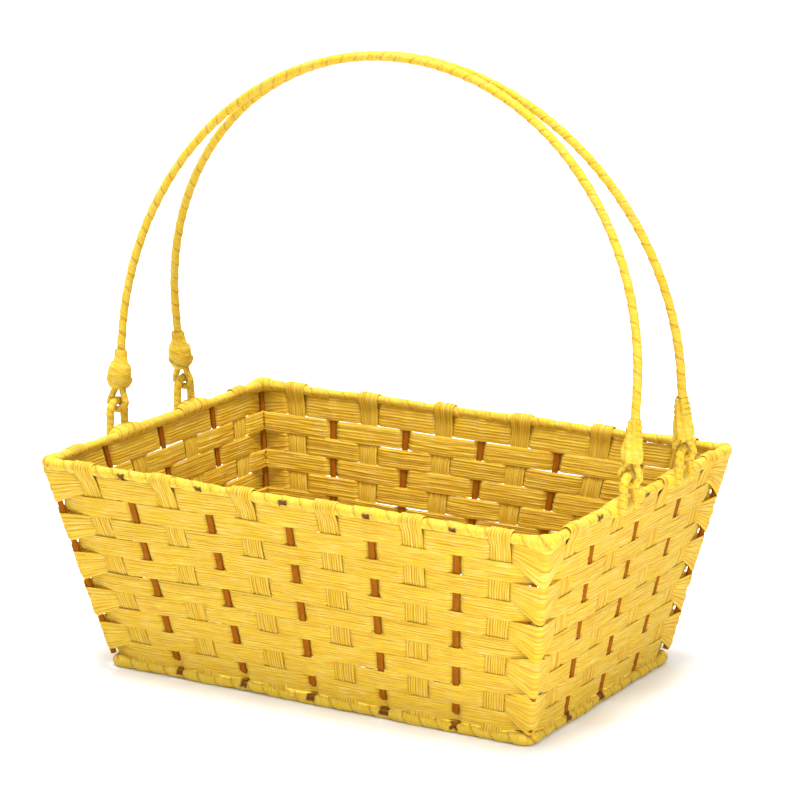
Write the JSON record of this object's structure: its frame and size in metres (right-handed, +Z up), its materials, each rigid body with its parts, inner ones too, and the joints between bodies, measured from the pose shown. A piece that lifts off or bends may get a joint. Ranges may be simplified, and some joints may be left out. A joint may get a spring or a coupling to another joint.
{
  "type": "easter basket",
  "caption": "Rectangular woven paper basket on a steel wire frame, with sloping walls, a wrapped rim and base ring, and two hooped handles that swing on loops at its ends.",
  "frame": {"origin": "on the surface it stands on, under the middle of the basket", "axes": "+X along the basket's length, +Y to its back, +Z up"},
  "size_m": [0.3266, 0.2183, 0.3325],
  "materials": {
    "paper_ribbon": "matte",
    "paper_wrap": "matte",
    "frame_wire": "matte"
  },
  "bodies": {
    "basket": {"back_left_loop": "paper_wrap", "back_right_loop": "paper_wrap", "base_ribbon_1": "paper_ribbon", "base_ribbon_2": "paper_ribbon", "base_ribbon_3": "paper_ribbon", "base_ribbon_4": "paper_ribbon", "base_ribbon_5": "paper_ribbon", "base_ribbon_6": "paper_ribbon", "base_wire": "frame_wire", "base_wrap": "paper_wrap", "corner_post_back_left": "frame_wire", "corner_post_back_right": "frame_wire", "corner_post_front_left": "frame_wire", "corner_post_front_right": "frame_wire", "end_strip_1": "paper_ribbon", "end_strip_2": "paper_ribbon", "end_strip_3": "paper_ribbon", "end_strip_4": "paper_ribbon", "front_left_loop": "paper_wrap", "front_right_loop": "paper_wrap", "left_wire_1": "frame_wire", "left_wire_2": "frame_wire", "left_wire_3": "frame_wire", "long_strip_1": "paper_ribbon", "long_strip_2": "paper_ribbon", "long_strip_3": "paper_ribbon", "long_strip_4": "paper_ribbon", "long_strip_5": "paper_ribbon", "long_strip_6": "paper_ribbon", "long_wire_1": "frame_wire", "long_wire_2": "frame_wire", "long_wire_3": "frame_wire", "long_wire_4": "frame_wire", "long_wire_5": "frame_wire", "right_wire_1": "frame_wire", "right_wire_2": "frame_wire", "right_wire_3": "frame_wire", "rim_wire": "frame_wire", "rim_wrap": "paper_wrap", "weaver_row_01": "paper_ribbon", "weaver_row_02": "paper_ribbon", "weaver_row_03": "paper_ribbon", "weaver_row_04": "paper_ribbon", "weaver_row_05": "paper_ribbon", "weaver_row_06": "paper_ribbon", "weaver_row_07": "paper_ribbon", "weaver_row_08": "paper_ribbon", "weaver_row_09": "paper_ribbon", "weaver_row_10": "paper_ribbon"},
    "front_handle": {"front_handle_wire": "frame_wire", "front_handle_wrap": "paper_wrap", "front_left_knot": "paper_wrap", "front_right_knot": "paper_wrap"},
    "back_handle": {"back_handle_wire": "frame_wire", "back_handle_wrap": "paper_wrap", "back_left_knot": "paper_wrap", "back_right_knot": "paper_wrap"}
  },
  "joints": [
    {"name": "front_handle_swing", "type": "hinge", "parent": "basket", "child": "front_handle", "pos_m": [0, -0.03, 0.12775], "axis": [1, 0, 0], "range_deg": [0, 98]},
    {"name": "back_handle_swing", "type": "hinge", "parent": "basket", "child": "back_handle", "pos_m": [0, 0.035, 0.12775], "axis": [1, 0, 0], "range_deg": [-98, 0]}
  ]
}
